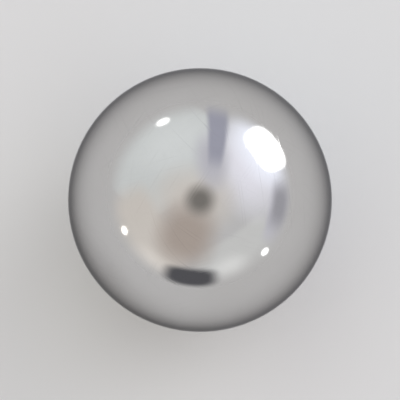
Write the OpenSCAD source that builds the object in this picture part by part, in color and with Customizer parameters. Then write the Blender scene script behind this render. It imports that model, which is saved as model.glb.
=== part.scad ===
// Loose steel ball, as used in bearings, valves and slides: one solid piece,
// ground and lapped to a true sphere, with no flat, bore, seam or mark.
// Millimetres. The origin is the centre of the ball and +Z is up.

/* [Ball] */
// Diameter of the ball over its finished surface
ball_d = 8; // [1:0.5:50]

/* [Hidden] */
// Every separate piece, by name
// The piece to draw, or "all"
// Bright, nearly neutral grey of polished steel
polished_steel = [0.77, 0.77, 0.78];
// Straight sides that stand for a full turn on screen
$fn = 120;

// The whole ball, a sphere about its own centre.
module ball() {
    color(polished_steel)
        sphere(d = ball_d);
}

ball();
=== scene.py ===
"""A loose polished steel ball on a plain pale floor, seen from nearly straight above.

The ball is one mesh, worked out from the six sides of a cube bulged onto the sphere, in a
procedural polished steel. The light comes from the world alone: a pale room with a window at
one side, made of soft panels that are placed by where the ball mirrors them.
"""

import math
from typing import NamedTuple

import bpy
import numpy as np
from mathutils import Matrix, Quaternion, Vector


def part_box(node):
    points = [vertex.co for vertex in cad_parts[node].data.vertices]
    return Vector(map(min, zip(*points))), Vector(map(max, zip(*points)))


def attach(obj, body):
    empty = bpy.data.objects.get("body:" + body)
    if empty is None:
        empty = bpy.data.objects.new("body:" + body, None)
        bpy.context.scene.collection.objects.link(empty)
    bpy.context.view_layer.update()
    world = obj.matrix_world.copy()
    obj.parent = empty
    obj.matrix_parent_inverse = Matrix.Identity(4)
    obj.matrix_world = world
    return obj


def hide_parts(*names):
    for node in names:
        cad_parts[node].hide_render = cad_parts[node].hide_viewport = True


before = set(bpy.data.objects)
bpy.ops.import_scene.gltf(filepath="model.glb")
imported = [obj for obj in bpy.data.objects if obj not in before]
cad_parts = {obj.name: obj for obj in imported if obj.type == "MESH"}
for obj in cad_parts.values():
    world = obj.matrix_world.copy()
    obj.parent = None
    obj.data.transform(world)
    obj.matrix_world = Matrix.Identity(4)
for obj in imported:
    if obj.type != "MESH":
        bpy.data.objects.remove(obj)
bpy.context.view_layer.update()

# ---- Sizes, in metres, from the frame ---------------------------------------------------------
ball_low, ball_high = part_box("ball")
RADIUS = (ball_high.z - ball_low.z) / 2
CENTRE = (ball_low + ball_high) / 2
FLOOR_Z = ball_low.z

# ---- Camera -----------------------------------------------------------------------------------
CAMERA_ELEVATION = math.radians(83)   # above the floor, looking along +Y
CAMERA_DISTANCE = 0.40                # from the ball's centre
CLIP_RATIO = 10                       # how many times nearer and farther the camera still sees
BALL_SHARE = 0.66                     # of the picture's width that the ball's diameter fills
SENSOR = 36.0                         # millimetres

TO_CAMERA = Vector((0, -math.cos(CAMERA_ELEVATION), math.sin(CAMERA_ELEVATION)))
VIEW_RIGHT = Vector((1, 0, 0))
VIEW_UP = TO_CAMERA.cross(VIEW_RIGHT)

# ---- Ball mesh --------------------------------------------------------------------------------
SIDE_CELLS = 96                       # cells along one side of the cube
SAME_POINT_DECIMALS = 7               # to which two points of a unit sphere have to agree to be one
MAP_MARGIN = 0.008                    # round each side's patch on the surface map

# ---- Polished steel ---------------------------------------------------------------------------
STEEL = (0.622, 0.616, 0.610)
STEEL_HAZED = (0.602, 0.595, 0.587)
STEEL_CUT = (0.50, 0.495, 0.49)       # in a line
# Grazing tint set far below real steel's, so that the rim goes dark: painted shade that stands in
# for dark surroundings mirrored at the rim.
GRAZING_PAINTED_SHADE = (0.28, 0.28, 0.29)    # of what a plain metal would give back at 82 degrees
ROUGH_CLEAR = 0.035
ROUGH_HAZED = 0.075
HAZE = {"Scale": 420.0, "Contrast": 0.22}   # clouds per metre, and the noise's spread about a half

SCRATCH_AXES = 6
SCRATCH_SEED = 3.0
SCRATCHES = {"Circles": 8.0, "Half Width": 0.040, "Shown": 0.50, "Patches": 2.2}
HAIRLINE_AXES = 9
HAIRLINE_SEED = 40.0
HAIRLINES = {"Circles": 26.0, "Half Width": 0.085, "Shown": 0.47, "Patches": 4.5}
HAIRLINE_SHARE = 0.45                 # of a scratch's strength
PATCH_FULL = 0.75                     # level of the soft noise at which a line shows in full
FADE_NEAR_AXIS = (0.95, 0.75)         # cosines to its axis at which a circle has gone, and is full
LINE_CUT = 0.5                        # how far a full line takes the cut steel's colour
LINE_ROUGH = 0.10                     # that a full line adds to the roughness
LINE_DEPTH = 1.2e-6                   # metres
LINE_BUMP = 0.5                       # strength of that depth
GOLDEN_ANGLE = math.pi * (3 - math.sqrt(5))

# ---- Floor and room, where light of 1 shows white ---------------------------------------------
FLOOR_HALF = 1.5
FLOOR_COLOUR = (0.780, 0.780, 0.775)
FLOOR_ROUGH = 0.9
FLOOR_SHOWN = (0.725, 0.719, 0.721)   # light that the open floor gives back
ROOM = (0.76, 0.76, 0.77)             # light of the walls where no panel lies
WALLS_CLEAR_FROM = 0.36               # height of a direction where walls stop blending with it
STEEP = 0.85                          # height of a direction from which a panel is a ceiling one
LEAST_AHEAD = 1e-3                    # cosine to a panel's middle below which it can't be seen

PLAIN = (0.99, 1.00, 1.00)
FRESH = (0.96, 1.00, 1.01)
WARM = (1.06, 1.00, 0.94)
COOL = (0.98, 0.98, 1.08)
SLATE = (0.96, 0.98, 1.18)
SKY = (0.94, 0.98, 1.10)
TAN = (1.15, 1.00, 0.90)


class Panel(NamedTuple):
    """A soft-edged patch of light or shade in the room."""
    name: str
    at: tuple           # middle of its mirror image, in radii right of and above the ball's centre
    half: tuple         # half width and half height, in degrees
    tone: tuple
    level: float        # of light
    edge: float         # softness of the edge, as a share of the half size
    corners: float = 2  # power of the corners: 2 is an ellipse and a high one a rectangle
    turn: float = 0     # degrees that it is turned about its own middle


# The far parts of the room, which blend into the floor's light down to the horizon.
WALLS = (
    Panel("ceiling", at=(-0.28, 0.35), half=(46, 40), tone=FRESH, level=0.93, edge=0.08, corners=6),
    Panel("ceiling_light", at=(-0.20, 0.44), half=(26, 22), tone=FRESH, level=1.03, edge=0.95),
    Panel("warm_wall", at=(-0.42, -0.28), half=(36, 26), tone=WARM, level=0.85, edge=0.35,
          corners=5),
    Panel("low_wall", at=(0.30, -0.42), half=(32, 20), tone=PLAIN, level=0.86, edge=0.20,
          corners=6),
    Panel("cool_wall", at=(0.66, 0.10), half=(40, 20), tone=COOL, level=0.80, edge=0.20, corners=6),
    Panel("low_glow_right", at=(0.23, -0.54), half=(12, 12), tone=PLAIN, level=1.14, edge=0.90),
    Panel("low_glow_left", at=(-0.38, -0.50), half=(14, 12), tone=WARM, level=1.10, edge=0.90),
    Panel("window_glow", at=(0.38, 0.25), half=(32, 30), tone=COOL, level=1.23, edge=0.90),
    Panel("warm_haze", at=(-0.05, 0.0), half=(30, 24), tone=WARM, level=0.86, edge=0.85),
    Panel("window_fringe", at=(0.50, 0.40), half=(23, 23), tone=SKY, level=1.58, edge=0.70,
          corners=2.5),
    Panel("gap_haze", at=(0.09, 0.30), half=(12, 22), tone=COOL, level=0.76, edge=0.70),
    Panel("gap", at=(0.135, 0.56), half=(7, 36), tone=SLATE, level=0.53, edge=0.35,
          corners=6, turn=10),
    Panel("curtain", at=(-0.105, -0.265), half=(22, 25), tone=TAN, level=0.52, edge=0.65,
          corners=2.5),
)
# The things in front of them.
THINGS = (
    Panel("shelf", at=(-0.075, -0.585), half=(18, 9), tone=COOL, level=0.13, edge=0.35,
          corners=3.5),
    Panel("corner", at=(0.60, -0.04), half=(14, 8), tone=COOL, level=0.51, edge=0.65, corners=3),
    Panel("lamp_left", at=(-0.57, -0.23), half=(3, 3), tone=WARM, level=2.8, edge=0.30),
    Panel("lamp_right", at=(0.49, -0.39), half=(3, 3), tone=PLAIN, level=2.8, edge=0.30),
    Panel("lamp_far", at=(-0.28, 0.59), half=(4.5, 3.5), tone=PLAIN, level=2.6, edge=0.30),
    Panel("window", at=(0.50, 0.39), half=(15, 14), tone=PLAIN, level=5.5, edge=0.22, corners=3),
    Panel("lens", at=(0.0, 0.0), half=(11.5, 11.5), tone=WARM, level=0.26, edge=0.70),
)


# ---- Meshes -----------------------------------------------------------------------------------
def mesh_object(name, points, faces):
    """An object at the origin from arrays of points and four-cornered faces."""
    mesh = bpy.data.meshes.new(name)
    mesh.from_pydata(points.tolist(), [], faces.tolist())
    mesh.update()
    obj = bpy.data.objects.new(name, mesh)
    bpy.context.scene.collection.objects.link(obj)
    return obj


def ball_surface(name, centre, radius, cells):
    """The ball: six square grids, the sides of a cube, bulged onto one closed sphere.

    A side with outward axis n and in-plane axes a and b holds the directions
    n + tan(s) a + tan(t) b, with s and t from -45 to 45 degrees in equal steps, each divided by
    its own length and times the radius. Equal directions on two sides become one point.
    The surface map lays the six grids out as three columns of two.
    """
    turn = np.tan(np.linspace(-math.pi / 4, math.pi / 4, cells + 1))
    s, t = np.meshgrid(turn, turn, indexing="ij")
    i, j = np.meshgrid(np.arange(cells), np.arange(cells), indexing="ij")
    first = (i * (cells + 1) + j).ravel()
    grid_faces = np.stack([first, first + cells + 1, first + cells + 2, first + 1], axis=1)
    share = np.linspace(0, 1, cells + 1)
    map_grid = np.stack(np.meshgrid(share, share, indexing="ij"), axis=-1).reshape(-1, 2)
    map_cell = np.array([1 / 3, 1 / 2])

    points, faces, places = [], [], []
    for side in range(6):
        far, axis = divmod(side, 3)
        n, a, b = np.roll(np.eye(3), axis, axis=1)
        if far:
            n, b = -n, -b
        direction = n + s[..., None] * a + t[..., None] * b
        direction /= np.linalg.norm(direction, axis=2, keepdims=True)
        faces.append(grid_faces + len(points) * (cells + 1) ** 2)
        points.append(direction.reshape(-1, 3))
        corner = map_cell * (axis, far) + MAP_MARGIN
        places.append(corner + (map_cell - 2 * MAP_MARGIN) * map_grid)
    points, faces, places = map(np.concatenate, (points, faces, places))

    rounded = points.round(SAME_POINT_DECIMALS)
    _, kept, merged = np.unique(rounded, axis=0, return_index=True, return_inverse=True)
    obj = mesh_object(name, np.array(centre) + radius * points[kept], merged.ravel()[faces])
    surface_map = obj.data.uv_layers.new(name="OFBake")
    surface_map.uv.foreach_set("vector", places[faces.ravel()].astype(np.float32).ravel())
    obj.data.polygons.foreach_set("use_smooth", np.ones(len(faces), dtype=bool))
    return obj


def plate(name, half, height):
    """A level square of the given half width at one height: its four corners, counterclockwise."""
    across = np.array([-half, half, half, -half])
    along = np.array([-half, -half, half, half])
    points = np.stack([across, along, np.full(4, height)], axis=1)
    return mesh_object(name, points, np.array([[0, 1, 2, 3]]))


# ---- Node helpers -----------------------------------------------------------------------------
FLOAT, VECTOR = "NodeSocketFloat", "NodeSocketVector"


class Nodes:
    """Short calls for building one node tree."""

    def __init__(self, tree):
        self.tree = tree

    def add(self, kind, inputs=None, **settings):
        """A node with its settings; inputs maps a socket's name or number to a value or output."""
        node = self.tree.nodes.new(kind)
        for name, value in settings.items():
            setattr(node, name, value)
        for socket, value in (inputs or {}).items():
            if isinstance(value, bpy.types.NodeSocket):
                self.tree.links.new(value, node.inputs[socket])
            else:
                node.inputs[socket].default_value = value
        return node

    def math(self, operation, *values):
        return self.add("ShaderNodeMath", dict(enumerate(values)), operation=operation).outputs[0]

    def vector(self, operation, *values):
        node = self.add("ShaderNodeVectorMath", dict(enumerate(values)), operation=operation)
        return node.outputs["Vector"]

    def dot(self, one, other):
        node = self.add("ShaderNodeVectorMath", {0: one, 1: other}, operation="DOT_PRODUCT")
        return node.outputs["Value"]

    def ramp(self, value, low, high, to_low=0.0, to_high=1.0):
        """Smooth step from to_low to to_high as value goes from low to high."""
        inputs = {"Value": value, "From Min": low, "From Max": high,
                  "To Min": to_low, "To Max": to_high}
        return self.add("ShaderNodeMapRange", inputs, interpolation_type="SMOOTHSTEP").outputs[0]

    def mix_colour(self, share, one, other):
        node = self.add("ShaderNodeMix", {0: share, 6: one, 7: other}, data_type="RGBA")
        return node.outputs[2]

    def group(self, tree, inputs, label=""):
        """The first output of a node group placed with these inputs."""
        return self.add("ShaderNodeGroup", inputs, node_tree=tree, label=label).outputs[0]


def new_group(name, inputs, output):
    """A shader node group with inputs of the given kinds and one number as its output.

    Returns the helper for its tree and the sockets that its inputs arrive at.
    """
    tree = bpy.data.node_groups.new(name, "ShaderNodeTree")
    for socket_name, kind in inputs.items():
        tree.interface.new_socket(socket_name, in_out="INPUT", socket_type=kind)
    tree.interface.new_socket(output, in_out="OUTPUT", socket_type=FLOAT)
    n = Nodes(tree)
    return n, n.add("NodeGroupInput").outputs


# ---- Polished steel ---------------------------------------------------------------------------
def lapping_lines_group():
    """Hairlines left by lapping: arcs of circles round one axis, each broken along its length.

    The angle from the axis, cut into cells of random width, gives the circles. A soft noise over
    the ball hides most of each circle, and the circles fade out near the axis itself.
    """
    n, given = new_group(
        "lapping_lines",
        {"Direction": VECTOR, "Axis": VECTOR, "Circles": FLOAT, "Half Width": FLOAT,
         "Shown": FLOAT, "Patches": FLOAT, "Seed": FLOAT},
        "Lines",
    )
    along = n.dot(given["Direction"], given["Axis"])
    circles = n.math("MULTIPLY", n.math("ARCCOSINE", along), given["Circles"])
    cells = n.add("ShaderNodeTexVoronoi",
                  {"W": n.math("ADD", circles, given["Seed"]), "Scale": 1.0, "Randomness": 1.0},
                  voronoi_dimensions="1D", feature="F1")
    line = n.ramp(cells.outputs["Distance"], given["Half Width"], 0.0)
    patches = n.add("ShaderNodeTexNoise",
                    {"Vector": n.vector("ADD", given["Direction"], given["Axis"]),
                     "W": given["Seed"], "Scale": given["Patches"], "Detail": 2.0},
                    noise_dimensions="4D")
    shown = n.ramp(patches.outputs[0], n.math("SUBTRACT", 1.0, given["Shown"]), PATCH_FULL)
    away = n.ramp(n.math("ABSOLUTE", along), *FADE_NEAR_AXIS)
    lines = n.math("MULTIPLY", n.math("MULTIPLY", line, shown), away)
    n.add("NodeGroupOutput", {"Lines": lines})
    return n.tree


def handling_haze_group():
    """Faint cloudy haze of a clean ball that has been handled: a soft noise, spread in contrast."""
    n, given = new_group(
        "handling_haze", {"Place": VECTOR, "Scale": FLOAT, "Contrast": FLOAT}, "Haze"
    )
    clouds = n.add("ShaderNodeTexNoise",
                   {"Vector": given["Place"], "Scale": given["Scale"], "Detail": 3.0,
                    "Roughness": 0.55, "Distortion": 0.6})
    low = n.math("SUBTRACT", 0.5, given["Contrast"])
    high = n.math("ADD", 0.5, given["Contrast"])
    n.add("NodeGroupOutput", {"Haze": n.ramp(clouds.outputs[0], low, high)})
    return n.tree


def lines_round_axes(n, tree, direction, axes, first_seed, settings):
    """Lapping lines round several axes, spread evenly over the upper half of the sphere.

    Axis k is 1 - (k + 1/2) / axes high, and stands k golden angles round. Where lines cross, the
    stronger one counts.
    """
    total = 0.0
    for k in range(axes):
        height = 1 - (k + 0.5) / axes
        level = math.sqrt(1 - height**2)
        turn = k * GOLDEN_ANGLE
        axis = (level * math.cos(turn), level * math.sin(turn), height)
        inputs = {"Direction": direction, "Axis": axis, "Seed": first_seed + k, **settings}
        total = n.math("MAXIMUM", total, n.group(tree, inputs))
    return total


def polished_steel():
    """Mirror-lapped steel: bright metal, faint haze in its gloss, hairline lapping marks."""
    material = bpy.data.materials.new("polished_steel")
    material.use_nodes = True
    material.node_tree.nodes.clear()
    n = Nodes(material.node_tree)
    place = n.add("ShaderNodeTexCoord").outputs["Object"]
    direction = n.vector("NORMALIZE", place)

    tree = lapping_lines_group()
    scratches = lines_round_axes(n, tree, direction, SCRATCH_AXES, SCRATCH_SEED, SCRATCHES)
    hairlines = lines_round_axes(n, tree, direction, HAIRLINE_AXES, HAIRLINE_SEED, HAIRLINES)
    lines = n.math("MAXIMUM", scratches, n.math("MULTIPLY", hairlines, HAIRLINE_SHARE))
    haze = n.group(handling_haze_group(), {"Place": place, **HAZE})

    colour = n.mix_colour(haze, (*STEEL, 1), (*STEEL_HAZED, 1))
    colour = n.mix_colour(n.math("MULTIPLY", lines, LINE_CUT), colour, (*STEEL_CUT, 1))
    rough = n.ramp(haze, 0.0, 1.0, ROUGH_CLEAR, ROUGH_HAZED)
    rough = n.math("ADD", rough, n.math("MULTIPLY", lines, LINE_ROUGH))
    bump = n.add("ShaderNodeBump", {"Strength": LINE_BUMP, "Distance": LINE_DEPTH, "Height": lines},
                 invert=True)
    # The low grazing tint darkens the ball's rim: painted shade, not the steel's own reflectance.
    steel = n.add("ShaderNodeBsdfPrincipled",
                  {"Base Color": colour, "Metallic": 1.0, "Specular Tint": (*GRAZING_PAINTED_SHADE, 1),
                   "Roughness": rough, "Normal": bump.outputs[0]})
    n.add("ShaderNodeOutputMaterial", {"Surface": steel.outputs[0]})
    return material


# ---- Studio -----------------------------------------------------------------------------------
def matt_floor():
    """Plain pale matt, with no gloss at all."""
    material = bpy.data.materials.new("matt_floor")
    material.use_nodes = True
    shader = material.node_tree.nodes["Principled BSDF"]
    shader.inputs["Base Color"].default_value = (*FLOOR_COLOUR, 1)
    shader.inputs["Roughness"].default_value = FLOOR_ROUGH
    shader.inputs["Specular IOR Level"].default_value = 0.0
    return material


def soft_panel_group():
    """How much of a soft-edged rounded rectangle lies in a direction.

    The direction is projected onto the plane that the panel faces from, and its two distances,
    in half sizes, make one by a power sum: a power of 2 is an ellipse and a high one a rectangle.
    """
    n, given = new_group(
        "soft_panel",
        {"Direction": VECTOR, "Facing": VECTOR, "Across": VECTOR, "Up": VECTOR,
         "Half Width": FLOAT, "Half Height": FLOAT, "Power": FLOAT, "Edge": FLOAT},
        "Share",
    )
    ahead = n.dot(given["Direction"], given["Facing"])
    divisor = n.math("MAXIMUM", ahead, LEAST_AHEAD)
    parts = []
    for axis, half in (("Across", "Half Width"), ("Up", "Half Height")):
        distance = n.math("DIVIDE", n.dot(given["Direction"], given[axis]), divisor)
        halves = n.math("ABSOLUTE", n.math("DIVIDE", distance, given[half]))
        parts.append(n.math("POWER", halves, given["Power"]))
    reach = n.math("POWER", n.math("ADD", *parts), n.math("DIVIDE", 1.0, given["Power"]))
    outside = n.math("ADD", 1.0, given["Edge"])
    inside = n.math("SUBTRACT", 1.0, given["Edge"])
    front = n.math("GREATER_THAN", ahead, LEAST_AHEAD)
    share = n.math("MULTIPLY", n.ramp(reach, outside, inside), front)
    n.add("NodeGroupOutput", {"Share": share})
    return n.tree


def seen_at(across, up):
    """The direction whose mirror image shows at a place on the ball.

    The place is in ball radii right of and above the ball's centre, as the camera sees it. The
    direction is the one to the camera, turned half round about the surface normal there.
    """
    normal = across * VIEW_RIGHT + up * VIEW_UP + math.sqrt(1 - across**2 - up**2) * TO_CAMERA
    return 2 * normal.dot(TO_CAMERA) * normal - TO_CAMERA


def with_panels(n, tree, direction, colour, panels):
    """The colour with each panel laid over it in turn.

    A panel faces the direction that the ball mirrors at its place. It stands upright, or, high
    overhead, with its top towards the top of the camera's picture, and is then turned.
    """
    for panel in panels:
        facing = seen_at(*panel.at)
        upright = Vector((0, 0, 1)) if facing.z < STEEP else VIEW_UP
        side = upright.cross(facing).normalized()
        side.rotate(Quaternion(facing, math.radians(panel.turn)))
        half_width, half_height = (math.tan(math.radians(angle)) for angle in panel.half)
        inputs = {"Direction": direction, "Facing": facing,
                  "Across": side, "Up": facing.cross(side),
                  "Half Width": half_width, "Half Height": half_height,
                  "Power": panel.corners, "Edge": panel.edge}
        light = [panel.level * part for part in panel.tone]
        colour = n.mix_colour(n.group(tree, inputs, label=panel.name), colour, (*light, 1))
    return colour


def studio_world():
    """The room as the ball mirrors it: pale walls with panels of other tones, and no horizon.

    Down to the horizon the walls blend into the light of the open floor, which goes on below it.
    """
    world = bpy.data.worlds.new("studio")
    bpy.context.scene.world = world
    world.use_nodes = True
    world.node_tree.nodes.clear()
    n = Nodes(world.node_tree)
    direction = n.add("ShaderNodeTexCoord").outputs["Generated"]
    height = n.dot(direction, (0, 0, 1))
    tree = soft_panel_group()
    room = with_panels(n, tree, direction, (*ROOM, 1), WALLS)
    room = n.mix_colour(n.ramp(height, 0.0, WALLS_CLEAR_FROM), (*FLOOR_SHOWN, 1), room)
    room = with_panels(n, tree, direction, room, THINGS)
    background = n.add("ShaderNodeBackground", {"Color": room, "Strength": 1.0})
    n.add("ShaderNodeOutputWorld", {"Surface": background.outputs[0]})


def camera():
    """A long lens that looks at the ball's centre, with the ball filling its share of the width."""
    data = bpy.data.cameras.new("camera")
    data.sensor_width = SENSOR
    field = 2 * RADIUS / BALL_SHARE
    data.lens = SENSOR * CAMERA_DISTANCE / field
    data.clip_start = CAMERA_DISTANCE / CLIP_RATIO
    data.clip_end = CAMERA_DISTANCE * CLIP_RATIO
    obj = bpy.data.objects.new("camera", data)
    bpy.context.scene.collection.objects.link(obj)
    obj.location = CENTRE + CAMERA_DISTANCE * TO_CAMERA
    obj.rotation_mode = "QUATERNION"
    obj.rotation_quaternion = TO_CAMERA.to_track_quat("Z", "Y")
    bpy.context.scene.camera = obj


# ---- Making -----------------------------------------------------------------------------------
ball = ball_surface("polished_ball", CENTRE, RADIUS, SIDE_CELLS)
ball.data.materials.append(polished_steel())
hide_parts("ball")
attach(ball, "root")

floor = plate("floor", FLOOR_HALF, FLOOR_Z)
floor.data.materials.append(matt_floor())

studio_world()
camera()

bpy.context.scene.view_settings.view_transform = "Standard"
